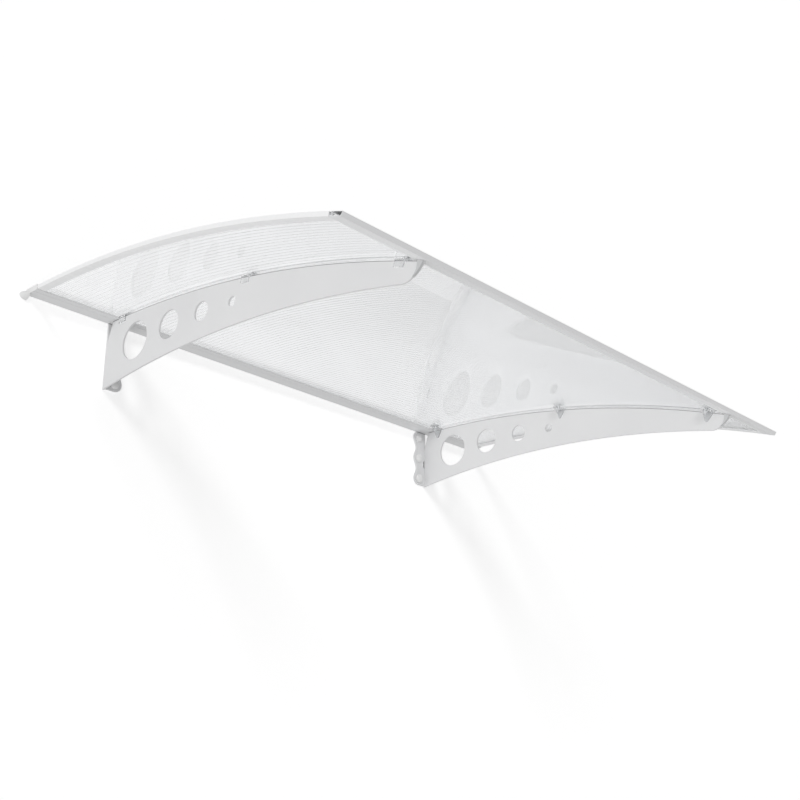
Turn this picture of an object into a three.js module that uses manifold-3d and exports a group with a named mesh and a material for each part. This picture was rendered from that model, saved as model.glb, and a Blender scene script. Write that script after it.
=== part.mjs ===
// Door canopy: an arched twin-wall sheet carried by two pierced brackets.
// X runs along the wall, the wall is the plane Y = 0, the canopy stands out to -Y, Z is up.
// The origin is the middle of the wall rail's back. Lengths are millimetres.

import * as THREE from 'three';
import { mergeVertices } from 'three/addons/utils/BufferGeometryUtils.js';
import Module from 'manifold-3d';

const wasm = await Module();
wasm.setup();

// Whole canopy
const WIDTH = 1350;
const FIT = 0.3;
const ARCH_RADIUS = 2525;
const ARCH_STEPS = 36;

// Roof sheet
const SHEET = 6;
const SHEET_REAR = 4;
const SHEET_FRONT = 856;
const UNDERSIDE = -SHEET / 2;

// Rail along the wall
const RAIL_SKIN = 2;
const RAIL_CLEAR = 0.7;
const RAIL_DEPTH = 40;
const RAIL_TOP_DEPTH = 24;
const RAIL_HALF = SHEET / 2 + RAIL_CLEAR + RAIL_SKIN;
const RAIL_GROOVE = 28;
const PLUG_REACH = 15;
const PLUG_HALF_HEIGHT = 9.4;
const PLUG_DEPTH = 14;
const PLUG_DROP = 2.3;
const PLUG_PLATE = 1.2;

// Rail along the front edge
const NOSE_SKIN = 1;
const NOSE_REACH = 20;
const NOSE_LEAN = 2;
const NOSE_TOP_LAP = 6;
const NOSE_LOW_LAP = 9;

// Trims along the two side edges
const TRIM_SKIN = 0.9;
const TRIM_LOW_WIDTH = 18;
const TRIM_TOP_WIDTH = 12;

// Brackets
const BRACKET_INSET = 189;
const BRACKET_SPAN = WIDTH - 2 * BRACKET_INSET;
const PLATE = 4;
const PLATE_REAR_TOP = 19;
const REAR_SLANT_Z = -61;
const PLATE_SETBACK = 4;
const PLATE_FRONT = SHEET_FRONT - PLATE_SETBACK;
const PLATE_TIP = 2.8;
const LOWER_CREST_OUT = 320;
const LOWER_CREST_Z = -127;
const CORNER_RADIUS = 27;
const HOLES = [
  { out: 100, z: -70, radius: 40 },
  { out: 210, z: -69.4, radius: 30 },
  { out: 310, z: -72.6, radius: 20 },
  { out: 400, z: -80.4, radius: 10 },
];

// Crescent pad on a bracket's front corner
const PAD_REACH = 13;
const PAD_FRONT = PLATE_FRONT + PAD_REACH;
const PAD_WIDTH = 6;
const PAD_DROP = 21.4;
const PAD_BULGE = 2.2;

// Wall flange of a bracket, with three lobes round its screw holes
const LOBE_Z = [-132, -77, -22];
const LOBE_PITCH = LOBE_Z[1] - LOBE_Z[0];
const LOBE_WIDTH = 43;
const WAIST_WIDTH = 34;
const LOBE_END = 16;
const FLANGE_HOLE = 4.5;
const FLANGE_HOLE_IN = 25;
const SLOT_LOW_Z = -102;
const SLOT_HIGH_Z = -79;
const SLOT_WIDTH = 6;
const CAP_RADIUS = 11;
const CAP_HEIGHT = 6;

// Clips and bolts that hold the sheet on the brackets
const CLIP_SETBACK = 34;
const CLIP_OUT = [53, 438, PLATE_FRONT - CLIP_SETBACK];
const CLIP_SKIN = 2.4;
const CLIP_HALF = 11;
const CLIP_CHEEK = 14;
const CLIP_SHOULDER = 7;
const CLIP_TONGUE = 24;
const CLIP_TIP = 4;
const PAD_END = 27;
const BOLT_IN = 15;
const BOLT_RADIUS = 3;
const WASHER_RADIUS = 11;
const WASHER = 2;
const HEAD_RADIUS = 6;
const HEAD = 4;
const NUT_RADIUS = 5.8;
const NUT = 5;
const PLATE_GAP = CLIP_SKIN + 2 * FIT;

const canopy = new THREE.Group();
canopy.name = 'door_canopy';

// Materials by piece family: coated metal, sheet, milky and clear plastic, plated steel, grey plastic
const FINISHES = {
  coat: { color: 0xe3e4e5, roughness: 0.42, metalness: 0 },
  sheet: { color: 0xecf0f4, roughness: 0.12, metalness: 0 },
  milky: { color: 0xeff0f1, roughness: 0.4, metalness: 0 },
  clear: { color: 0xdfe4e6, roughness: 0.15, metalness: 0 },
  steel: { color: 0xa9abad, roughness: 0.35, metalness: 1 },
  grey: { color: 0xb9bbbd, roughness: 0.55, metalness: 0 },
};

function addPiece(name, geometry, finish, parent) {
  const mesh = new THREE.Mesh(geometry, new THREE.MeshStandardMaterial(FINISHES[finish]));
  mesh.name = name;
  parent.add(mesh);
  return mesh;
}

function solid(geometry) {
  const bare = geometry.clone();
  bare.deleteAttribute('normal');
  bare.deleteAttribute('uv');
  const merged = mergeVertices(bare, 1e-4);
  return new wasm.Manifold(new wasm.Mesh({
    numProp: 3,
    vertProperties: new Float32Array(merged.attributes.position.array),
    triVerts: new Uint32Array(merged.index.array),
  }));
}

function geometryOf(body) {
  const mesh = body.getMesh();
  const geometry = new THREE.BufferGeometry();
  geometry.setAttribute('position', new THREE.BufferAttribute(mesh.vertProperties, 3));
  geometry.setIndex(new THREE.BufferAttribute(mesh.triVerts, 1));
  geometry.computeVertexNormals();
  return geometry;
}

function clean(geometry) {
  return geometryOf(solid(geometry));
}

function mirrored(geometry) {
  const copy = geometry.clone();
  copy.scale(-1, 1, 1);
  const index = copy.index.array;
  for (let i = 0; i < index.length; i += 3) {
    const first = index[i];
    index[i] = index[i + 1];
    index[i + 1] = first;
  }
  copy.computeVertexNormals();
  return copy;
}

function shapeOf(points) {
  return new THREE.Shape(points.map(([p, q]) => new THREE.Vector2(p, q)));
}

function circle(p, q, radius, count) {
  const points = [];
  for (let i = 0; i < count; i += 1) {
    const angle = 2 * Math.PI * i / count;
    points.push(new THREE.Vector2(p + radius * Math.cos(angle), q + radius * Math.sin(angle)));
  }
  return new THREE.Path(points);
}

function extruded(shape, depth) {
  return new THREE.ExtrudeGeometry(shape, { depth, bevelEnabled: false });
}

// A section drawn in (Y, Z), run along X from one x to another
function alongX(shape, from, to) {
  const geometry = extruded(shape, to - from);
  const turn = new THREE.Matrix4().makeBasis(
    new THREE.Vector3(0, 1, 0),
    new THREE.Vector3(0, 0, 1),
    new THREE.Vector3(1, 0, 0),
  );
  geometry.applyMatrix4(turn);
  geometry.translate(from, 0, 0);
  return geometry;
}

// A section drawn in (X, Z), run out from the wall to -Y
function outFromWall(shape, from, to) {
  const geometry = extruded(shape, to - from);
  geometry.rotateX(Math.PI / 2);
  geometry.translate(0, -from, 0);
  return geometry;
}

// The arch: angle for a distance out from the wall, and the point at a height over the underside
function archAngle(out) {
  return Math.asin(out / ARCH_RADIUS);
}

function archPoint(angle, height) {
  const reach = ARCH_RADIUS + height;
  return [-reach * Math.sin(angle), UNDERSIDE - ARCH_RADIUS + reach * Math.cos(angle)];
}

function archRun(outFrom, outTo, height, steps) {
  const first = archAngle(outFrom);
  const last = archAngle(outTo);
  const points = [];
  for (let i = 0; i <= steps; i += 1) {
    points.push(archPoint(first + (last - first) * i / steps, height));
  }
  return points;
}

function archBand(outFrom, outTo, low, high) {
  const under = archRun(outFrom, outTo, low, ARCH_STEPS);
  const over = archRun(outFrom, outTo, high, ARCH_STEPS).reverse();
  return shapeOf([...under, ...over]);
}

// Carries a geometry drawn about (0, 0, underside) to its station on the arch
function toStation(geometry, x, out) {
  const angle = archAngle(out);
  const [y, z] = archPoint(angle, 0);
  geometry.rotateX(angle);
  geometry.translate(x, y, z);
  return geometry;
}

function turned(profile, segments) {
  const points = profile.map(([r, z]) => new THREE.Vector2(r, z));
  return new THREE.LatheGeometry(points, segments).rotateX(Math.PI / 2);
}

// Roof sheet, drilled for the bolts
const sheetHalf = WIDTH / 2 - TRIM_SKIN - FIT;
let sheet = solid(alongX(archBand(SHEET_REAR, SHEET_FRONT, 0, SHEET), -sheetHalf, sheetHalf));
for (const side of [-1, 1]) {
  for (const out of CLIP_OUT) {
    const drill = new THREE.CylinderGeometry(BOLT_RADIUS + FIT, BOLT_RADIUS + FIT, 3 * SHEET, 16);
    drill.rotateX(Math.PI / 2);
    sheet = sheet.subtract(solid(toStation(drill, side * (BRACKET_SPAN / 2 - BOLT_IN), out)));
  }
}
addPiece('roof_sheet', geometryOf(sheet), 'sheet', canopy);

// Wall rail: a channel open to the front, with a shallow groove under its lower leg
const railSection = shapeOf([
  [0, -RAIL_HALF],
  [0, RAIL_HALF],
  [-RAIL_TOP_DEPTH, RAIL_HALF],
  [-RAIL_TOP_DEPTH, RAIL_HALF - RAIL_SKIN],
  [-RAIL_SKIN, RAIL_HALF - RAIL_SKIN],
  [-RAIL_SKIN, RAIL_SKIN - RAIL_HALF],
  [-RAIL_DEPTH, RAIL_SKIN - RAIL_HALF],
  [-RAIL_DEPTH, -RAIL_HALF],
  [-RAIL_GROOVE - 1, -RAIL_HALF],
  [-RAIL_GROOVE - 1, 0.8 - RAIL_HALF],
  [-RAIL_GROOVE + 1, 0.8 - RAIL_HALF],
  [-RAIL_GROOVE + 1, -RAIL_HALF],
]);
addPiece('wall_rail', alongX(railSection, -WIDTH / 2, WIDTH / 2), 'coat', canopy);

// Front rail: a channel square to the arch's end, open at both ends
const noseOrigin = archPoint(archAngle(SHEET_FRONT), 0);
const noseAngle = archAngle(SHEET_FRONT);
function nosePoint([out, height]) {
  const y = noseOrigin[0] - out * Math.cos(noseAngle) - height * Math.sin(noseAngle);
  const z = noseOrigin[1] - out * Math.sin(noseAngle) + height * Math.cos(noseAngle);
  return [y, z];
}
const noseLow = -FIT - NOSE_SKIN;
const noseHigh = SHEET + FIT + NOSE_SKIN;
const noseSection = shapeOf([
  [-NOSE_LOW_LAP, noseLow],
  [-NOSE_LOW_LAP, noseLow + NOSE_SKIN],
  [NOSE_REACH - NOSE_LEAN - NOSE_SKIN, noseLow + NOSE_SKIN],
  [NOSE_REACH - NOSE_SKIN, noseHigh - NOSE_SKIN],
  [-NOSE_TOP_LAP, noseHigh - NOSE_SKIN],
  [-NOSE_TOP_LAP, noseHigh],
  [NOSE_REACH - NOSE_SKIN, noseHigh],
  [NOSE_REACH, noseHigh - NOSE_SKIN],
  [NOSE_REACH - NOSE_LEAN, noseLow],
].map(nosePoint));
addPiece('front_rail', alongX(noseSection, -WIDTH / 2, WIDTH / 2), 'coat', canopy);

// Side trims: channels bent along the arch, between the two rails; drawn from their outer face
const trimFrom = RAIL_DEPTH + FIT;
const trimTo = SHEET_FRONT - NOSE_LOW_LAP * Math.cos(noseAngle) - 2 * FIT;
const trimOuter = TRIM_SKIN + FIT;
const trimPast = 5;
const trimBlock = alongX(archBand(trimFrom, trimTo, -trimOuter, SHEET + trimOuter), 0, TRIM_LOW_WIDTH);
const trimRoom = alongX(
  archBand(trimFrom - trimPast, trimTo + trimPast, -FIT, SHEET + FIT),
  TRIM_SKIN,
  TRIM_LOW_WIDTH + trimPast,
);
const trimShort = alongX(
  archBand(trimFrom - trimPast, trimTo + trimPast, SHEET, SHEET + 2 * trimOuter),
  TRIM_TOP_WIDTH,
  TRIM_LOW_WIDTH + trimPast,
);
const trim = geometryOf(solid(trimBlock).subtract(solid(trimRoom)).subtract(solid(trimShort)));

// Plugs on the ends of the wall rail: a plate over the channel's end, with a rounded knob at the wall
const plugBall = new THREE.SphereGeometry(PLUG_REACH, 24, 16);
plugBall.scale(1, PLUG_DEPTH / PLUG_REACH, PLUG_HALF_HEIGHT / PLUG_REACH);
plugBall.translate(-FIT, 0, -RAIL_HALF - PLUG_DROP);
const plugRoom = new THREE.BoxGeometry(2 * PLUG_REACH, 2 * PLUG_DEPTH, 4 * PLUG_REACH);
plugRoom.translate(-FIT - PLUG_REACH, -PLUG_DEPTH, -RAIL_HALF);
const plugPlate = new THREE.BoxGeometry(PLUG_PLATE, RAIL_DEPTH, 2 * RAIL_HALF);
plugPlate.translate(-FIT - PLUG_PLATE / 2, -RAIL_DEPTH / 2, 0);
const plug = geometryOf(solid(plugBall).intersect(solid(plugRoom)).add(solid(plugPlate)));

// Bracket, drawn about its plate's middle plane. Its front corner is an arc that ends a little below
// the plate's top edge, and its lower edge is an arc through the crest that runs into the corner.
const cornerOut = PLATE_FRONT - CORNER_RADIUS;
const cornerZ = archRun(PLATE_REAR_TOP, PLATE_FRONT, -PLATE_GAP, 1)[1][1] - PLATE_TIP;
const cornerRun = cornerOut - LOWER_CREST_OUT;
const cornerDrop = LOWER_CREST_Z - cornerZ;
const lowerRadius = (cornerRun ** 2 + cornerDrop ** 2 - CORNER_RADIUS ** 2)
  / (2 * (CORNER_RADIUS + cornerDrop));
const cornerFall = Math.asin(cornerRun / (lowerRadius + CORNER_RADIUS));
const cornerStart = cornerOut - CORNER_RADIUS * Math.sin(cornerFall);
const cornerCentre = [cornerOut, cornerZ];

function lowerZ(out) {
  const centre = LOWER_CREST_Z - lowerRadius;
  return centre + Math.sqrt(lowerRadius ** 2 - (out - LOWER_CREST_OUT) ** 2);
}

function arcRun([out, z], radius, from, to, steps) {
  const points = [];
  for (let i = 0; i <= steps; i += 1) {
    const angle = from + (to - from) * i / steps;
    points.push([out + radius * Math.cos(angle), z + radius * Math.sin(angle)]);
  }
  return points;
}

// Plate outline in (Y, Z), from its rear foot along the lower edge, round the front and back
const outline = [];
for (let i = 0; i <= 24; i += 1) {
  const out = cornerStart * i / 25;
  outline.push([-out, lowerZ(out)]);
}
for (const [out, z] of arcRun(cornerCentre, CORNER_RADIUS, -Math.PI / 2 - cornerFall, 0, 9)) {
  outline.push([-out, z]);
}
outline.push(...archRun(PLATE_REAR_TOP, PLATE_FRONT, -PLATE_GAP, ARCH_STEPS).reverse());
outline.push([0, REAR_SLANT_Z]);
const plateShape = shapeOf(outline);
for (const { out, z, radius } of HOLES) {
  plateShape.holes.push(circle(-out, z, radius, 24 + Math.round(radius / 2)));
}
const outerFace = -PLATE / 2;
const plate = solid(alongX(plateShape, outerFace, outerFace + PLATE));

// Wall flange: its free edge swells to a lobe at each screw hole, its other edge lies under the plate
const lobeEnd = (from, middleZ) => {
  const points = [];
  for (let i = 0; i <= 6; i += 1) {
    const angle = from + Math.PI / 2 * i / 6;
    const across = LOBE_WIDTH - LOBE_END + LOBE_END * Math.cos(angle);
    points.push([across, middleZ + LOBE_END * Math.sin(angle)]);
  }
  return points;
};
const flange = [[0, LOBE_Z[0] - LOBE_END], ...lobeEnd(-Math.PI / 2, LOBE_Z[0])];
for (let i = 1; i < 24; i += 1) {
  const swing = Math.cos(4 * Math.PI * i / 24);
  const across = (LOBE_WIDTH + WAIST_WIDTH) / 2 + (LOBE_WIDTH - WAIST_WIDTH) / 2 * swing;
  flange.push([across, LOBE_Z[0] + 2 * LOBE_PITCH * i / 24]);
}
flange.push(...lobeEnd(0, LOBE_Z[2]));
flange.push([0, LOBE_Z[2] + LOBE_END]);
const flangeShape = shapeOf(flange.map(([across, z]) => [outerFace + across, z]));
for (const z of LOBE_Z) {
  flangeShape.holes.push(circle(outerFace + FLANGE_HOLE_IN, z, FLANGE_HOLE, 16));
}

// Slot along the corner of plate and flange, between the lower two lobes
const slot = [];
for (let i = 0; i <= 10; i += 1) {
  const bulge = SLOT_WIDTH * Math.sin(Math.PI * i / 10);
  slot.push(new THREE.Vector2(outerFace + PLATE + bulge, SLOT_LOW_Z + (SLOT_HIGH_Z - SLOT_LOW_Z) * i / 10));
}
flangeShape.holes.push(new THREE.Path(slot));
const bracket = plate.add(solid(outFromWall(flangeShape, 0, PLATE)));
const bracketGeometry = geometryOf(bracket);

// Grey end pads: crescents that close the plates' front corners under the front rail
function padTopZ(out) {
  const fall = (out - SHEET_FRONT) * Math.tan(noseAngle);
  return noseOrigin[1] - fall + (noseLow - FIT) / Math.cos(noseAngle);
}
const padInnerRadius = CORNER_RADIUS + FIT;
const padInner = arcRun(cornerCentre, padInnerRadius, -Math.asin(PAD_DROP / padInnerRadius), 0, 7);
const padTip = padInner[0];
const padFront = [PAD_FRONT, padTopZ(PAD_FRONT)];
const padRun = padFront[0] - padTip[0];
const padRise = padFront[1] - padTip[1];
const padSpan = Math.hypot(padRun, padRise);
const padRadius = (padSpan ** 2 / 4 + PAD_BULGE ** 2) / (2 * PAD_BULGE);
const padLift = (padRadius - PAD_BULGE) / padSpan;
const padCentre = [padTip[0] + padRun / 2 - padRise * padLift, padTip[1] + padRise / 2 + padRun * padLift];
const padFrom = Math.atan2(padTip[1] - padCentre[1], padTip[0] - padCentre[0]);
const padTo = Math.atan2(padFront[1] - padCentre[1], padFront[0] - padCentre[0]);
const padPoints = [
  ...arcRun(padCentre, padRadius, padFrom, padTo, 7),
  [PLATE_FRONT + FIT, padTopZ(PLATE_FRONT + FIT)],
  ...padInner.slice(1).reverse(),
].map(([out, z]) => [-out, z]);
const padGeometry = clean(alongX(shapeOf(padPoints), -PAD_WIDTH / 2, PAD_WIDTH / 2));

// Clip: a saddle over the plate's edge, a tongue inside, a cheek outside and a pad for the bolt
function clipGeometry() {
  const cheekFace = PLATE / 2 + FIT;
  const seat = [[-cheekFace - CLIP_SKIN, CLIP_HALF], [-cheekFace - CLIP_SKIN, -CLIP_HALF]];
  for (let i = 0; i <= 8; i += 1) {
    const angle = Math.PI * (i / 8 - 0.5);
    seat.push([PAD_END - CLIP_HALF + CLIP_HALF * Math.cos(angle), CLIP_HALF * Math.sin(angle)]);
  }
  const seatShape = shapeOf(seat);
  seatShape.holes.push(circle(BOLT_IN, 0, BOLT_RADIUS + FIT, 16));
  const seatGeometry = extruded(seatShape, CLIP_SKIN);
  seatGeometry.translate(0, 0, -FIT - CLIP_SKIN);
  const top = -FIT - CLIP_SKIN / 2;
  const cheek = shapeOf([
    [-CLIP_HALF, top],
    [-CLIP_HALF, -CLIP_CHEEK],
    [CLIP_HALF, -CLIP_CHEEK],
    [CLIP_HALF, top],
  ]);
  const tip = arcRun([0, CLIP_TIP - CLIP_TONGUE], CLIP_TIP, -2.7, -0.45, 6);
  const tongue = shapeOf([
    [-CLIP_HALF, top],
    [-CLIP_HALF, -CLIP_SHOULDER],
    ...tip,
    [CLIP_HALF, -CLIP_SHOULDER],
    [CLIP_HALF, top],
  ]);
  const clip = solid(seatGeometry)
    .add(solid(alongX(cheek, -cheekFace - CLIP_SKIN, -cheekFace)))
    .add(solid(alongX(tongue, cheekFace, cheekFace + CLIP_SKIN)));
  return geometryOf(clip);
}

// Bolt with a domed head over a sealing washer, and its nut below the clip's pad
const washerLow = SHEET + FIT;
const headLow = washerLow + WASHER + FIT;
const nutTop = -2 * FIT - CLIP_SKIN;
function boltGeometry() {
  return turned([
    [0, nutTop - NUT - 3],
    [BOLT_RADIUS - 0.6, nutTop - NUT - 3],
    [BOLT_RADIUS, nutTop - NUT - 2.4],
    [BOLT_RADIUS, headLow],
    [HEAD_RADIUS, headLow],
    [HEAD_RADIUS, headLow + 0.35 * HEAD],
    [0.75 * HEAD_RADIUS, headLow + 0.8 * HEAD],
    [0.35 * HEAD_RADIUS, headLow + HEAD],
    [0, headLow + HEAD],
  ], 16);
}

function washerGeometry() {
  return turned([
    [BOLT_RADIUS + FIT, washerLow],
    [WASHER_RADIUS, washerLow],
    [WASHER_RADIUS, washerLow + 0.6 * WASHER],
    [HEAD_RADIUS + 1, washerLow + WASHER],
    [BOLT_RADIUS + FIT, washerLow + WASHER],
    [BOLT_RADIUS + FIT, washerLow],
  ], 24);
}

function nutGeometry() {
  const hex = new THREE.Shape(circle(0, 0, NUT_RADIUS, 6).getPoints());
  hex.holes.push(circle(0, 0, BOLT_RADIUS + FIT, 16));
  const geometry = extruded(hex, NUT);
  geometry.translate(0, 0, nutTop - NUT);
  return geometry;
}

// Hollow domed cap over a wall screw
function capGeometry() {
  const outer = [[CAP_RADIUS - 1.5, 0], [CAP_RADIUS, 0], [CAP_RADIUS, 1.5]];
  const inner = [];
  for (let i = 1; i <= 4; i += 1) {
    const angle = Math.PI / 2 * i / 4;
    outer.push([CAP_RADIUS * Math.cos(angle), 1.5 + (CAP_HEIGHT - 1.5) * Math.sin(angle)]);
    const radius = (CAP_RADIUS - 1.5) * Math.sin(angle);
    inner.push([radius, (CAP_HEIGHT - 1.5) * Math.cos(angle)]);
  }
  outer[outer.length - 1][0] = 0;
  inner[inner.length - 1] = [CAP_RADIUS - 1.5, 0];
  const cap = turned([...outer, [0, CAP_HEIGHT - 1.5], ...inner], 18);
  cap.rotateX(Math.PI / 2);
  return cap;
}

// The right side mirrors the left: edge pieces in one group, bracket pieces in another
for (const [side, label] of [[-1, 'left'], [1, 'right']]) {
  const hand = (geometry) => (side < 0 ? geometry : mirrored(geometry));
  const edge = new THREE.Group();
  edge.name = `edge_${label}`;
  edge.position.x = side * WIDTH / 2;
  canopy.add(edge);
  addPiece(`side_trim_${label}`, hand(trim), 'milky', edge);
  addPiece(`rail_plug_${label}`, hand(plug), 'coat', edge);

  const arm = new THREE.Group();
  arm.name = `arm_${label}`;
  arm.position.x = side * BRACKET_SPAN / 2;
  canopy.add(arm);
  addPiece(`bracket_${label}`, hand(bracketGeometry), 'coat', arm);
  addPiece(`end_pad_${label}`, hand(padGeometry), 'grey', arm);

  CLIP_OUT.forEach((out, i) => {
    const place = `${label}_${i + 1}`;
    const [y, z] = archPoint(archAngle(out), 0);
    const station = new THREE.Group();
    station.name = `station_${place}`;
    station.position.set(0, y, z);
    station.rotation.x = archAngle(out);
    arm.add(station);
    addPiece(`clip_${place}`, hand(clipGeometry()), 'clear', station);
    const bolt = addPiece(`bolt_${place}`, clean(boltGeometry()), 'steel', station);
    const washer = addPiece(`washer_${place}`, clean(washerGeometry()), 'grey', station);
    const nut = addPiece(`nut_${place}`, clean(nutGeometry()), 'steel', station);
    for (const mesh of [bolt, washer, nut]) {
      mesh.position.x = -side * BOLT_IN;
    }
  });

  LOBE_Z.forEach((z, i) => {
    const cap = addPiece(`wall_cap_${label}_${i + 1}`, clean(capGeometry()), 'coat', arm);
    cap.position.set(-side * (FLANGE_HOLE_IN - PLATE / 2), -PLATE - FIT, z);
  });
}

export default canopy;
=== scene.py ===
"""Door canopy: an arched, clear twin-wall sheet on two white pierced brackets, with coated rails."""

import math

import bmesh
import bpy
from mathutils import Matrix, Vector


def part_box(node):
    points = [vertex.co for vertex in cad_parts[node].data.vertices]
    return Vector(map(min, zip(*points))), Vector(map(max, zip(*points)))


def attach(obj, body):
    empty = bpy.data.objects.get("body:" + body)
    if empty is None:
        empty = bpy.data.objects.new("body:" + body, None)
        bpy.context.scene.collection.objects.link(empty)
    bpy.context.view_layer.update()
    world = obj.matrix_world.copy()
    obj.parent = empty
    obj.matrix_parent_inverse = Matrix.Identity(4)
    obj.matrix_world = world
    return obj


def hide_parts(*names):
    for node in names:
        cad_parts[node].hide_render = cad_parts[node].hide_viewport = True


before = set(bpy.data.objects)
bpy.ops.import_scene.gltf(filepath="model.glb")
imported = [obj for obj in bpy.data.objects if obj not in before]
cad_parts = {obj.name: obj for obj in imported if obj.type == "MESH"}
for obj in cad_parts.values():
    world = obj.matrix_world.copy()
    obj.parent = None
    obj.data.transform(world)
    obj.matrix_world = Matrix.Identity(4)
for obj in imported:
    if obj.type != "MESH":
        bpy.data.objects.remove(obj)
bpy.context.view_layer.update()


# Brackets: two plates with four round holes, each with a lobed rear flange turned inwards.
# Cut from 4 mm aluminium sheet, joined at the corner and powder coated white; screwed on at the lobes.
WELD = 2e-6
CUT = 1e-7
FLAT_ANGLE = math.radians(0.25)
SHARP_ANGLE = math.radians(40)
EDGE_STEPS = 2
BRACKET_EDGE = 0.0004
FLANGE = 0.004
PLATE_INNER = 0.484
SLOT_LOW = -0.102
SLOT_HIGH = -0.079
ARCH_RADIUS = 2.525
ARCH_CENTRE = -2.528
TOP_EDGE_RADIUS = 2.522
SHADE_PALE = (0.30, 0.305, 0.31)
SHADE_DARK = (0.24, 0.245, 0.25)
COAT_WHITE = (0.800, 0.803, 0.808)
COAT_SHADE = (0.775, 0.778, 0.785)
COAT_PEEL = 900.0
COAT_DRIFT = 5.0
TONE_START = 0.35
TONE_STOP = 0.65
GRAIN_LOW = 0.3
GRAIN_HIGH = 0.7
# Painted shade line just under the plates' top edge
SHADE_LINE_HEIGHT = 0.0008
SHADE_LINE_FADE = 0.0003
SHADE_LINE_DARK = (0.12, 0.12, 0.125, 1)
FACING_UP = 0.85
NEAR_EDGE = 0.0005
NEAR_FACE = 0.0002


def finished(name, form):
    """Turns a bmesh into a smooth-shaded piece that rides on the canopy's one body."""
    for face in form.faces:
        face.smooth = True
    mesh = bpy.data.meshes.new(name)
    form.to_mesh(mesh)
    form.free()
    mesh.set_sharp_from_angle(angle=SHARP_ANGLE)
    piece = bpy.data.objects.new(name, mesh)
    bpy.context.scene.collection.objects.link(piece)
    even = piece.modifiers.new("Even shading", "WEIGHTED_NORMAL")
    even.keep_sharp = True
    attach(piece, "root")
    return piece


def merged_copy(node):
    """The node's solid as a bmesh, with its triangles joined into whole faces."""
    form = bmesh.new()
    form.from_mesh(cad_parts[node].data)
    bmesh.ops.remove_doubles(form, verts=form.verts, dist=WELD)
    bmesh.ops.dissolve_limit(form, angle_limit=FLAT_ANGLE, verts=form.verts, edges=form.edges)
    return form


def round_over(form, radius, angle=30):
    """Rounds every edge of the form that is sharper than the angle."""
    sharp = []
    for edge in form.edges:
        if edge.is_manifold and edge.calc_face_angle() > math.radians(angle):
            sharp.append(edge)
    bmesh.ops.bevel(
        form, geom=sharp, offset=radius, offset_type="OFFSET", segments=EDGE_STEPS,
        profile=0.5, affect="EDGES", clamp_overlap=True, material=-1,
    )


def group_tree(name, inputs, outputs):
    """A shader node group with float inputs and outputs, and its two end nodes."""
    tree = bpy.data.node_groups.new(name, "ShaderNodeTree")
    for title, value in inputs.items():
        socket = tree.interface.new_socket(name=title, in_out="INPUT", socket_type="NodeSocketFloat")
        socket.default_value = value
    for title in outputs:
        tree.interface.new_socket(name=title, in_out="OUTPUT", socket_type="NodeSocketFloat")
    start = tree.nodes.new("NodeGroupInput")
    end = tree.nodes.new("NodeGroupOutput")
    return tree, start, end


def noise_at(tree, coordinates, scale, detail):
    """A noise texture read at the given coordinates."""
    noise = tree.nodes.new("ShaderNodeTexNoise")
    noise.inputs["Scale"].default_value = scale
    noise.inputs["Detail"].default_value = detail
    tree.links.new(coordinates, noise.inputs["Vector"])
    return noise


# Orange peel of a sprayed coat: fine bumps, and a slow drift of tone over the surface
coat_grain, coat_start, coat_end = group_tree(
    "Coat grain", {"Peel": COAT_PEEL, "Drift": COAT_DRIFT}, ["Height", "Tone"]
)
coat_place = coat_grain.nodes.new("ShaderNodeTexCoord")
coat_peel = noise_at(coat_grain, coat_place.outputs["Object"], scale=COAT_PEEL, detail=2.0)
coat_drift = noise_at(coat_grain, coat_place.outputs["Object"], scale=COAT_DRIFT, detail=4.0)
coat_grain.links.new(coat_start.outputs["Peel"], coat_peel.inputs["Scale"])
coat_grain.links.new(coat_start.outputs["Drift"], coat_drift.inputs["Scale"])
coat_grain.links.new(coat_peel.outputs["Fac"], coat_end.inputs["Height"])
coat_grain.links.new(coat_drift.outputs["Fac"], coat_end.inputs["Tone"])


def new_material(name):
    """An empty node material with a Principled shader on its output."""
    material = bpy.data.materials.new(name)
    material.use_nodes = True
    tree = material.node_tree
    shader = tree.nodes["Principled BSDF"]
    return material, tree, shader


def tone_ramp(tree, factor, low, high):
    """A colour that runs between two tones with the factor."""
    ramp = tree.nodes.new("ShaderNodeValToRGB")
    ramp.color_ramp.elements[0].position = TONE_START
    ramp.color_ramp.elements[1].position = TONE_STOP
    ramp.color_ramp.elements[0].color = (*low, 1)
    ramp.color_ramp.elements[1].color = (*high, 1)
    tree.links.new(factor, ramp.inputs["Fac"])
    return ramp.outputs["Color"]


def spread(tree, factor, low, high):
    """A value that runs between two bounds with the factor."""
    span = tree.nodes.new("ShaderNodeMapRange")
    span.inputs["From Min"].default_value = GRAIN_LOW
    span.inputs["From Max"].default_value = GRAIN_HIGH
    span.inputs["To Min"].default_value = low
    span.inputs["To Max"].default_value = high
    tree.links.new(factor, span.inputs["Value"])
    return span.outputs["Result"]


def bumped(tree, shader, height, depth):
    """Feeds a height into the shader's normal."""
    bump = tree.nodes.new("ShaderNodeBump")
    bump.inputs["Strength"].default_value = 1.0
    bump.inputs["Distance"].default_value = depth
    tree.links.new(height, bump.inputs["Height"])
    tree.links.new(bump.outputs["Normal"], shader.inputs["Normal"])


def coated(name, low, high, peel, depth, rough):
    """A sprayed and baked coat: slow tone drift, orange peel and an uneven gloss."""
    material, tree, shader = new_material(name)
    grain = tree.nodes.new("ShaderNodeGroup")
    grain.node_tree = coat_grain
    grain.inputs["Peel"].default_value = peel
    colour = tone_ramp(tree, grain.outputs["Tone"], low, high)
    tree.links.new(colour, shader.inputs["Base Color"])
    tree.links.new(spread(tree, grain.outputs["Tone"], *rough), shader.inputs["Roughness"])
    bumped(tree, shader, grain.outputs["Height"], depth)
    return material


white_coat = coated(
    "White powder coat", COAT_SHADE, COAT_WHITE, peel=COAT_PEEL, depth=0.00004, rough=(0.38, 0.46)
)
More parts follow.
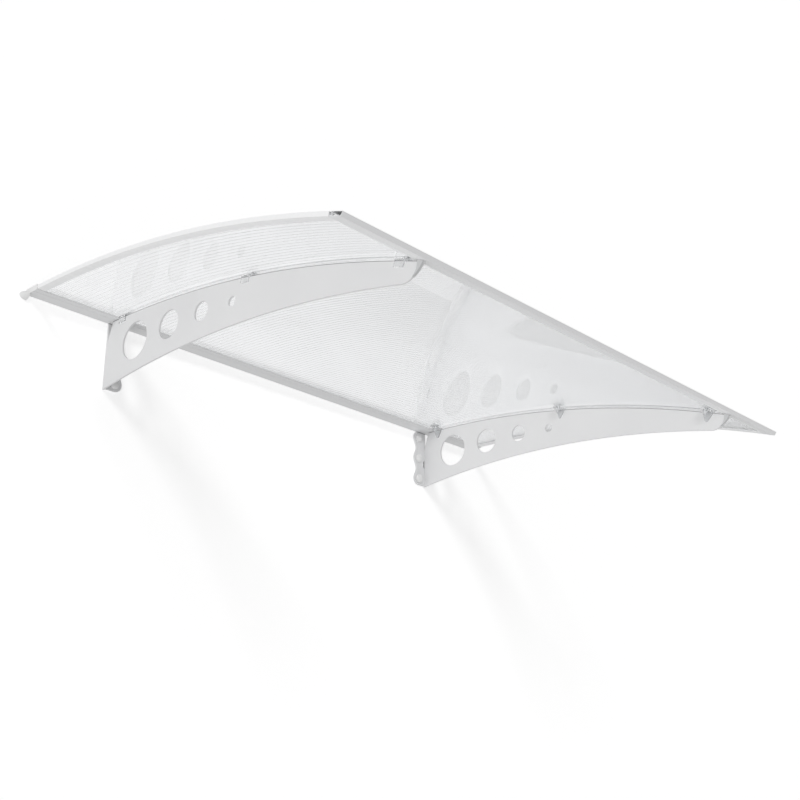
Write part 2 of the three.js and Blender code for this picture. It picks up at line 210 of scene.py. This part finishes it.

# Painted shade: a thin dark line just under the plate's top edge, for the shadowed gap between plate
# and sheet
coat_nodes = white_coat.node_tree
coat_shader = coat_nodes.nodes["Principled BSDF"]
coat_colour = coat_shader.inputs["Base Color"].links[0].from_socket
shade_line_place = coat_nodes.nodes.new("ShaderNodeTexCoord")
shade_line_offset = coat_nodes.nodes.new("ShaderNodeVectorMath")
shade_line_offset.operation = "MULTIPLY_ADD"
shade_line_offset.inputs[1].default_value = (0, 1, 1)
shade_line_offset.inputs[2].default_value = (0, 0, -ARCH_CENTRE)
shade_line_reach = coat_nodes.nodes.new("ShaderNodeVectorMath")
shade_line_reach.operation = "LENGTH"
shade_line_mask = coat_nodes.nodes.new("ShaderNodeMapRange")
shade_line_mask.inputs["From Min"].default_value = TOP_EDGE_RADIUS - SHADE_LINE_HEIGHT - SHADE_LINE_FADE
shade_line_mask.inputs["From Max"].default_value = TOP_EDGE_RADIUS - SHADE_LINE_HEIGHT
shade_line_mix = coat_nodes.nodes.new("ShaderNodeMix")
shade_line_mix.data_type = "RGBA"
shade_line_mix.inputs["B"].default_value = SHADE_LINE_DARK
coat_nodes.links.new(shade_line_place.outputs["Object"], shade_line_offset.inputs[0])
coat_nodes.links.new(shade_line_offset.outputs["Vector"], shade_line_reach.inputs[0])
coat_nodes.links.new(shade_line_reach.outputs["Value"], shade_line_mask.inputs["Value"])
coat_nodes.links.new(shade_line_mask.outputs["Result"], shade_line_mix.inputs["Factor"])
coat_nodes.links.new(coat_colour, shade_line_mix.inputs["A"])
coat_nodes.links.new(shade_line_mix.outputs["Result"], coat_shader.inputs["Base Color"])

# Painted shade: a dark grey for faces that sit in shade, on the plates' top edges, in the slots and
# inside the front rail
painted_shade = coated(
    "Painted shade", SHADE_DARK, SHADE_PALE, peel=2000.0, depth=0.00002, rough=(0.45, 0.6)
)

for side in ("left", "right"):
    plate = merged_copy(f"bracket_{side}")
    round_over(plate, BRACKET_EDGE)
    whole_plate = plate.verts[:] + plate.edges[:] + plate.faces[:]
    bmesh.ops.bisect_plane(
        plate, geom=whole_plate, plane_co=(0, -FLANGE, 0), plane_no=(0, 1, 0), dist=CUT
    )
    # Painted shade: the plate's top edge under the sheet, and the slot's faces beside the plate, take
    # the dark shade material
    for face in plate.faces:
        middle = face.calc_center_median()
        reach = math.hypot(middle.y, middle.z - ARCH_CENTRE)
        top_edge = face.normal.z > FACING_UP and abs(reach - TOP_EDGE_RADIUS) < NEAR_EDGE
        in_slot = middle.y > -FLANGE and SLOT_LOW < middle.z < SLOT_HIGH
        inward = face.normal.x * middle.x < 0
        beside_plate = inward and abs(abs(middle.x) - PLATE_INNER) < NEAR_FACE
        if top_edge or (in_slot and beside_plate):
            face.material_index = 1
    bracket = finished(f"bracket_plate_{side}", plate)
    bracket.data.materials.append(white_coat)
    bracket.data.materials.append(painted_shade)
    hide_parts(f"bracket_{side}")


# Wall rail: a coated aluminium channel along the rear, open to the front.
# Extruded; it takes the sheet's rear edge, and has a shallow groove under its lower leg.
RAIL_EDGE = 0.0003
RAIL_WHITE = (0.790, 0.793, 0.798)
RAIL_SHADE = (0.762, 0.765, 0.772)
DIE_GLOSS = (0.32, 0.42)
DIE_DEPTH = 0.00003
DIE_FINENESS = 1400.0
DIE_DRIFT = 160.0
DIE_STRETCH = (0.004, 1.0, 1.0)

# Die lines of an extrusion: faint straight streaks along the rail
die_lines, die_start, die_end = group_tree(
    "Die lines", {"Fineness": DIE_FINENESS}, ["Height", "Tone"]
)
die_place = die_lines.nodes.new("ShaderNodeTexCoord")
die_stretch = die_lines.nodes.new("ShaderNodeMapping")
die_stretch.inputs["Scale"].default_value = DIE_STRETCH
die_lines.links.new(die_place.outputs["Object"], die_stretch.inputs["Vector"])
die_streak = noise_at(die_lines, die_stretch.outputs["Vector"], scale=DIE_FINENESS, detail=3.0)
die_drift = noise_at(die_lines, die_stretch.outputs["Vector"], scale=DIE_DRIFT, detail=2.0)
die_lines.links.new(die_start.outputs["Fineness"], die_streak.inputs["Scale"])
die_lines.links.new(die_streak.outputs["Fac"], die_end.inputs["Height"])
die_lines.links.new(die_drift.outputs["Fac"], die_end.inputs["Tone"])


def extrusion(name, low, high):
    """A coated extrusion: die lines show faintly through a thin coat."""
    material, tree, shader = new_material(name)
    lines = tree.nodes.new("ShaderNodeGroup")
    lines.node_tree = die_lines
    colour = tone_ramp(tree, lines.outputs["Tone"], low, high)
    tree.links.new(colour, shader.inputs["Base Color"])
    tree.links.new(spread(tree, lines.outputs["Tone"], *DIE_GLOSS), shader.inputs["Roughness"])
    bumped(tree, shader, lines.outputs["Height"], DIE_DEPTH)
    return material


rail_coat = extrusion("Wall rail coat", RAIL_SHADE, RAIL_WHITE)

rail_form = merged_copy("wall_rail")
round_over(rail_form, RAIL_EDGE)
wall_rail = finished("rail_on_wall", rail_form)
wall_rail.data.materials.append(rail_coat)
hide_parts("wall_rail")


# Rail plugs: plates over the wall rail's two ends, each with a rounded knob at its rear.
# Moulded in white plastic, with a fine matt texture, and pressed on.
PLUG_EDGE = 0.0006
PLUG_WHITE = (0.870, 0.870, 0.868)
PLUG_SHADE = (0.845, 0.845, 0.845)

moulded_white = coated(
    "Moulded white plastic", PLUG_SHADE, PLUG_WHITE, peel=2200.0, depth=0.00002, rough=(0.45, 0.55)
)

for side in ("left", "right"):
    plug_form = merged_copy(f"rail_plug_{side}")
    round_over(plug_form, PLUG_EDGE, angle=50)
    plug = finished(f"rail_end_{side}", plug_form)
    plug.data.materials.append(moulded_white)
    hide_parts(f"rail_plug_{side}")


# Roof sheet: one clear twin-wall polycarbonate sheet, bent to the arch.
# Two thin skins joined by ribs that run from the rear to the front, extruded in one piece.
SHEET = 0.006
SHEET_REAR = 0.004
SHEET_FRONT = 0.856
SKIN = 0.0005
RIB = 0.0005
RIB_PITCH = 0.0105
ARCH_STEPS = 40
SHEET_TINT = (0.994, 0.996, 0.998, 1)
RIB_TINT = (0.981, 0.984, 0.989, 1)
CLEAR_IOR = 1.45
FACING_SIDE = 0.9

sheet_low, sheet_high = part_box("roof_sheet")
underside = -SHEET / 2
arch_centre = Vector((0, 0, ARCH_CENTRE))
rear_angle = math.asin(SHEET_REAR / ARCH_RADIUS)
front_angle = math.asin(SHEET_FRONT / ARCH_RADIUS)

sheet_form = bmesh.new()
corners = []
for x, z in ((sheet_low.x, 0), (sheet_high.x, 0), (sheet_high.x, SHEET), (sheet_low.x, SHEET)):
    corners.append(sheet_form.verts.new((x, 0, underside + z)))
sheet_form.faces.new(corners)

rib_count = round((sheet_high.x - sheet_low.x - RIB) / RIB_PITCH)
rib_step = (sheet_high.x - sheet_low.x - RIB) / rib_count
cuts = [((0, 0, underside + SKIN), (0, 0, 1)), ((0, 0, underside + SHEET - SKIN), (0, 0, 1))]
for i in range(rib_count + 1):
    rib_left = sheet_low.x + i * rib_step
    if i > 0:
        cuts.append(((rib_left, 0, 0), (1, 0, 0)))
    if i < rib_count:
        cuts.append(((rib_left + RIB, 0, 0), (1, 0, 0)))
for place, across in cuts:
    everything = sheet_form.verts[:] + sheet_form.edges[:] + sheet_form.faces[:]
    bmesh.ops.bisect_plane(sheet_form, geom=everything, plane_co=place, plane_no=across, dist=CUT)

flutes = []
for face in sheet_form.faces:
    middle = face.calc_center_median()
    along = (middle.x - sheet_low.x) % rib_step
    if abs(middle.z) < SHEET / 2 - SKIN and along > RIB:
        flutes.append(face)
bmesh.ops.delete(sheet_form, geom=flutes, context="FACES")
bmesh.ops.rotate(
    sheet_form, verts=sheet_form.verts, cent=arch_centre, matrix=Matrix.Rotation(rear_angle, 3, "X")
)
bmesh.ops.spin(
    sheet_form, geom=sheet_form.faces[:], cent=arch_centre, axis=(1, 0, 0),
    angle=front_angle - rear_angle, steps=ARCH_STEPS, use_merge=False,
)
bmesh.ops.recalc_face_normals(sheet_form, faces=sheet_form.faces)
for face in sheet_form.faces:
    if abs(face.normal.x) > FACING_SIDE:
        face.material_index = 1
roof = finished("twin_wall_sheet", sheet_form)
roof.visible_shadow = False
roof.visible_diffuse = False


def clear(name, tint, rough):
    """A clear plastic with a faint tint and an uneven gloss."""
    material, tree, shader = new_material(name)
    shader.inputs["Base Color"].default_value = tint
    shader.inputs["Transmission Weight"].default_value = 1.0
    shader.inputs["IOR"].default_value = CLEAR_IOR
    grain = tree.nodes.new("ShaderNodeGroup")
    grain.node_tree = coat_grain
    tree.links.new(spread(tree, grain.outputs["Tone"], *rough), shader.inputs["Roughness"])
    return material


roof.data.materials.append(clear("Clear sheet skins", SHEET_TINT, rough=(0.01, 0.03)))
roof.data.materials.append(clear("Clear sheet ribs", RIB_TINT, rough=(0.04, 0.08)))
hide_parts("roof_sheet")


# Side trims: channels pushed over the sheet's two side edges and bent along the arch.
# Extruded in a milky white plastic.
TRIM_EDGE = 0.0002
TRIM_WHITE = (0.955, 0.958, 0.962)
TRIM_SHADE = (0.935, 0.939, 0.944)

milky_plastic = extrusion("Milky plastic", TRIM_SHADE, TRIM_WHITE)

for side in ("left", "right"):
    trim_form = merged_copy(f"side_trim_{side}")
    round_over(trim_form, TRIM_EDGE)
    trim = finished(f"side_channel_{side}", trim_form)
    trim.data.materials.append(milky_plastic)
    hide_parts(f"side_trim_{side}")


# Front rail: a channel along the front edge, open at its two ends.
# Extruded aluminium with a white coat, pushed over the sheet's front edge; its inside is painted
# shade.
NOSE_EDGE = 0.0003
# Painted light: the front rail's white is set lighter than the same coat on the brackets
NOSE_LIT_HIGH = (0.870, 0.873, 0.878)
NOSE_LIT_LOW = (0.845, 0.848, 0.854)
LIP_FACING = 0.9
FRONT_FACING = 0.8

nose_lit_coat = extrusion("Front rail lit coat", NOSE_LIT_LOW, NOSE_LIT_HIGH)

nose_form = merged_copy("front_rail")
round_over(nose_form, NOSE_EDGE)
out_of_sheet = Vector((0, -math.cos(front_angle), -math.sin(front_angle)))
off_sheet = Vector((0, -math.sin(front_angle), math.cos(front_angle)))
nose_root = arch_centre + off_sheet * ARCH_RADIUS
whole_nose = nose_form.verts[:] + nose_form.edges[:] + nose_form.faces[:]
bmesh.ops.bisect_plane(
    nose_form, geom=whole_nose, plane_co=nose_root, plane_no=out_of_sheet, dist=CUT
)
# Painted shade: the faces inside the channel take the dark shade material
for face in nose_form.faces:
    from_root = face.calc_center_median() - nose_root
    over_lip = face.normal.dot(off_sheet) > LIP_FACING and from_root.dot(off_sheet) < SHEET / 2
    under_top = face.normal.dot(off_sheet) < -LIP_FACING and from_root.dot(off_sheet) > SHEET / 2
    behind_front = face.normal.dot(out_of_sheet) < -FRONT_FACING
    if from_root.dot(out_of_sheet) > 0 and (over_lip or under_top or behind_front):
        face.material_index = 1
front_rail = finished("rail_at_front", nose_form)
front_rail.data.materials.append(nose_lit_coat)
front_rail.data.materials.append(painted_shade)
front_rail.visible_shadow = False
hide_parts("front_rail")


# Clips: clear plastic saddles that sit over a bracket's top edge, three on each.
# Injection moulded, with a smoked, pointed tongue inside and a round pad for the bolt.
CLIP_EDGE = 0.0004
PLATE_MIDDLE = 0.486
SEAT_DEPTH = 0.0035
CLIP_TINT = (0.900, 0.905, 0.910, 1)
TONGUE_TINT = (0.76, 0.77, 0.78, 1)

clear_plastic = clear("Clear moulded plastic", CLIP_TINT, rough=(0.06, 0.10))
smoked_plastic = clear("Smoked moulded plastic", TONGUE_TINT, rough=(0.20, 0.30))

for side in ("left", "right"):
    for place in (1, 2, 3):
        clip_form = merged_copy(f"clip_{side}_{place}")
        round_over(clip_form, CLIP_EDGE)
        for face in clip_form.faces:
            middle = face.calc_center_median()
            reach = math.hypot(middle.y, middle.z - ARCH_CENTRE)
            if abs(middle.x) < PLATE_MIDDLE and reach < ARCH_RADIUS - SEAT_DEPTH:
                face.material_index = 1
        clip = finished(f"edge_clip_{side}_{place}", clip_form)
        clip.data.materials.append(clear_plastic)
        clip.data.materials.append(smoked_plastic)
        clip.visible_shadow = False
        clip.visible_diffuse = False
        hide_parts(f"clip_{side}_{place}")


# Bolts and nuts: one pair at each clip, through the sheet, to hold it down.
# Turned steel with a bright zinc plating.
FIXING_EDGE = 0.0003
STEEL_BRIGHT = (0.88, 0.89, 0.90)
STEEL_DULL = (0.78, 0.79, 0.80)

plated_steel = coated(
    "Plated steel", STEEL_DULL, STEEL_BRIGHT, peel=3000.0, depth=0.00001, rough=(0.22, 0.38)
)
plated_steel.node_tree.nodes["Principled BSDF"].inputs["Metallic"].default_value = 1.0

for side in ("left", "right"):
    for place in (1, 2, 3):
        for node in ("bolt", "nut"):
            fixing_form = merged_copy(f"{node}_{side}_{place}")
            round_over(fixing_form, FIXING_EDGE)
            fixing = finished(f"roof_{node}_{side}_{place}", fixing_form)
            fixing.data.materials.append(plated_steel)
            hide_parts(f"{node}_{side}_{place}")


# Sealing washers: pale grey rubber discs between each bolt's head and the sheet.
# Punched from sheet rubber, with a bevelled rim.
WASHER_EDGE = 0.0003
RUBBER_PALE = (0.72, 0.73, 0.74)
RUBBER_DARK = (0.67, 0.68, 0.69)

grey_rubber = coated(
    "Grey rubber", RUBBER_DARK, RUBBER_PALE, peel=2600.0, depth=0.00003, rough=(0.55, 0.7)
)

for side in ("left", "right"):
    for place in (1, 2, 3):
        washer_form = merged_copy(f"washer_{side}_{place}")
        round_over(washer_form, WASHER_EDGE)
        washer = finished(f"roof_washer_{side}_{place}", washer_form)
        washer.data.materials.append(grey_rubber)
        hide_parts(f"washer_{side}_{place}")


# End pads: grey crescents on the brackets' front corners, under the front rail.
# Moulded in soft plastic and pressed on.
PAD_EDGE = 0.0003
PAD_PALE = (0.62, 0.625, 0.63)
PAD_DARK = (0.59, 0.595, 0.60)

grey_plastic = coated(
    "Grey soft plastic", PAD_DARK, PAD_PALE, peel=2400.0, depth=0.00003, rough=(0.5, 0.62)
)

for side in ("left", "right"):
    pad_form = merged_copy(f"end_pad_{side}")
    round_over(pad_form, PAD_EDGE)
    pad = finished(f"corner_pad_{side}", pad_form)
    pad.data.materials.append(grey_plastic)
    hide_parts(f"end_pad_{side}")


# Wall caps: domed covers at the rear flange's lobes, three on each bracket.
# Moulded in white plastic and snapped on.
CAP_EDGE = 0.0003

for side in ("left", "right"):
    for place in (1, 2, 3):
        cap_form = merged_copy(f"wall_cap_{side}_{place}")
        round_over(cap_form, CAP_EDGE, angle=40)
        cap = finished(f"screw_cap_{side}_{place}", cap_form)
        cap.data.materials.append(moulded_white)
        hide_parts(f"wall_cap_{side}_{place}")


# Stage: a plain white backdrop and a pale floor, each seen only from its front.
# They show a soft shadow and do not stand in the way of the light. The floor behind the backdrop
# is dim where the sheet mirrors it, and pale where it is seen.
STAGE_HALF = 60.0
BACKDROP_GAP = 0.002
BACKDROP_PAINT = 0.8
BACKDROP_LIGHT = 0.48
FLOOR_DROP = 2.25
FLOOR_PAINT = 0.4
FLOOR_LIGHT = 0.57
BACK_FLOOR_MIRRORED = 0.0


def stage_plane(name, place, turn, paint, own_light, shown_light, rays):
    """A large pale plane that only the camera and the named rays see, from its front."""
    form = bmesh.new()
    bmesh.ops.create_grid(form, x_segments=1, y_segments=1, size=STAGE_HALF)
    bmesh.ops.transform(form, matrix=Matrix.Translation(place) @ turn, verts=form.verts)
    mesh = bpy.data.meshes.new(name)
    form.to_mesh(mesh)
    form.free()
    plane = bpy.data.objects.new(name, mesh)
    bpy.context.scene.collection.objects.link(plane)
    material, tree, shader = new_material(f"{name} white")
    shader.inputs["Base Color"].default_value = (paint, paint, paint, 1)
    shader.inputs["Roughness"].default_value = 1.0
    shader.inputs["Specular IOR Level"].default_value = 0.0
    shader.inputs["Emission Color"].default_value = (1, 1, 1, 1)
    path = tree.nodes.new("ShaderNodeLightPath")
    glow = tree.nodes.new("ShaderNodeMapRange")
    glow.inputs["To Min"].default_value = own_light
    glow.inputs["To Max"].default_value = shown_light
    tree.links.new(path.outputs["Is Camera Ray"], glow.inputs["Value"])
    tree.links.new(glow.outputs["Result"], shader.inputs["Emission Strength"])
    face = tree.nodes.new("ShaderNodeNewGeometry")
    seen = path.outputs["Is Camera Ray"]
    for ray in rays:
        either = tree.nodes.new("ShaderNodeMath")
        either.operation = "MAXIMUM"
        tree.links.new(seen, either.inputs[0])
        tree.links.new(path.outputs[ray], either.inputs[1])
        seen = either.outputs["Value"]
    front = tree.nodes.new("ShaderNodeMath")
    front.operation = "SUBTRACT"
    front.use_clamp = True
    tree.links.new(seen, front.inputs[0])
    tree.links.new(face.outputs["Backfacing"], front.inputs[1])
    empty = tree.nodes.new("ShaderNodeBsdfTransparent")
    mix = tree.nodes.new("ShaderNodeMixShader")
    tree.links.new(front.outputs["Value"], mix.inputs["Fac"])
    tree.links.new(empty.outputs["BSDF"], mix.inputs[1])
    tree.links.new(shader.outputs["BSDF"], mix.inputs[2])
    tree.links.new(mix.outputs["Shader"], tree.nodes["Material Output"].inputs["Surface"])
    plane.data.materials.append(material)


upright = Matrix.Rotation(math.radians(90), 4, "X")
flat = Matrix.Identity(4)
backdrop_place = Vector((0, BACKDROP_GAP, 0))
floor_place = Vector((0, -STAGE_HALF, -FLOOR_DROP))
back_place = Vector((0, STAGE_HALF, -FLOOR_DROP))
through = ["Is Transmission Ray"]
mirrored_and_through = ["Is Glossy Ray", "Is Transmission Ray"]
stage_plane(
    "Backdrop", backdrop_place, upright, BACKDROP_PAINT, BACKDROP_LIGHT, BACKDROP_LIGHT, through
)
stage_plane(
    "Floor", floor_place, flat, FLOOR_PAINT, FLOOR_LIGHT, FLOOR_LIGHT, mirrored_and_through
)
stage_plane(
    "Back floor", back_place, flat, FLOOR_PAINT, BACK_FLOOR_MIRRORED, FLOOR_LIGHT, mirrored_and_through
)


# Light: a pale surround, brightest from the left and the rear, and dim from the front.
# It is white where it is seen and dimmer in mirrored images. A soft lamp from the upper left front
# throws the shadows down the backdrop.
SURROUND = 0.66
SURROUND_SLOPE = (-0.28, 0.22, -0.15)
SURROUND_SEEN = 1.0
SURROUND_MIRRORED = 0.44
LAMP_FROM = Vector((-0.655, -1.0, 0.58))
LAMP_STRENGTH = 0.6
LAMP_SOFTNESS = math.radians(13)

world = bpy.data.worlds.new("Studio")
bpy.context.scene.world = world
world.use_nodes = True
sky = world.node_tree
plain = sky.nodes["Background"]
plain.inputs["Color"].default_value = (1.0, 1.0, 1.0, 1)
sky_place = sky.nodes.new("ShaderNodeTexCoord")
sky_slope = sky.nodes.new("ShaderNodeVectorMath")
sky_slope.operation = "DOT_PRODUCT"
sky_slope.inputs[1].default_value = SURROUND_SLOPE
sky_level = sky.nodes.new("ShaderNodeMath")
sky_level.operation = "ADD"
sky_level.inputs[1].default_value = SURROUND
sky.links.new(sky_place.outputs["Generated"], sky_slope.inputs[0])
sky.links.new(sky_slope.outputs["Value"], sky_level.inputs[0])
sky.links.new(sky_level.outputs["Value"], plain.inputs["Strength"])
white = sky.nodes.new("ShaderNodeBackground")
white.inputs["Color"].default_value = (1.0, 1.0, 1.0, 1)
sky_path = sky.nodes.new("ShaderNodeLightPath")
sky_glow = sky.nodes.new("ShaderNodeMapRange")
sky_glow.inputs["To Min"].default_value = SURROUND_SEEN
sky_glow.inputs["To Max"].default_value = SURROUND_MIRRORED
sky.links.new(sky_path.outputs["Is Glossy Ray"], sky_glow.inputs["Value"])
sky.links.new(sky_glow.outputs["Result"], white.inputs["Strength"])
sky_seen = sky_path.outputs["Is Camera Ray"]
for ray in ("Is Glossy Ray", "Is Transmission Ray"):
    sky_either = sky.nodes.new("ShaderNodeMath")
    sky_either.operation = "MAXIMUM"
    sky.links.new(sky_seen, sky_either.inputs[0])
    sky.links.new(sky_path.outputs[ray], sky_either.inputs[1])
    sky_seen = sky_either.outputs["Value"]
sky_mix = sky.nodes.new("ShaderNodeMixShader")
sky.links.new(sky_seen, sky_mix.inputs["Fac"])
sky.links.new(plain.outputs["Background"], sky_mix.inputs[1])
sky.links.new(white.outputs["Background"], sky_mix.inputs[2])
sky.links.new(sky_mix.outputs["Shader"], sky.nodes["World Output"].inputs["Surface"])

lamp_data = bpy.data.lights.new("Shadow lamp", "SUN")
lamp_data.energy = LAMP_STRENGTH
lamp_data.angle = LAMP_SOFTNESS
lamp = bpy.data.objects.new("Shadow lamp", lamp_data)
lamp.rotation_euler = LAMP_FROM.to_track_quat("Z", "Y").to_euler()
bpy.context.scene.collection.objects.link(lamp)


# Camera: below and to the left of the canopy, looking up along its underside.
# The sheet has many clear faces one behind the other, so the light may bounce often.
CAMERA_PLACE = Vector((-1.7200, -1.9538, -0.9913))
CAMERA_VIEW = Vector((0.6896, 0.6369, 0.3447))
SENSOR = 36.0
LENS = 53.34
CLEAR_BOUNCES = 32
MIRROR_BOUNCES = 12

camera_data = bpy.data.cameras.new("Camera")
camera_data.sensor_fit = "HORIZONTAL"
camera_data.sensor_width = SENSOR
camera_data.lens = LENS
camera = bpy.data.objects.new("Camera", camera_data)
camera.location = CAMERA_PLACE
camera.rotation_euler = CAMERA_VIEW.to_track_quat("-Z", "Y").to_euler()
bpy.context.scene.collection.objects.link(camera)
bpy.context.scene.camera = camera
bpy.context.scene.view_settings.view_transform = "Standard"
bpy.context.scene.cycles.max_bounces = CLEAR_BOUNCES
bpy.context.scene.cycles.transmission_bounces = CLEAR_BOUNCES
bpy.context.scene.cycles.glossy_bounces = MIRROR_BOUNCES
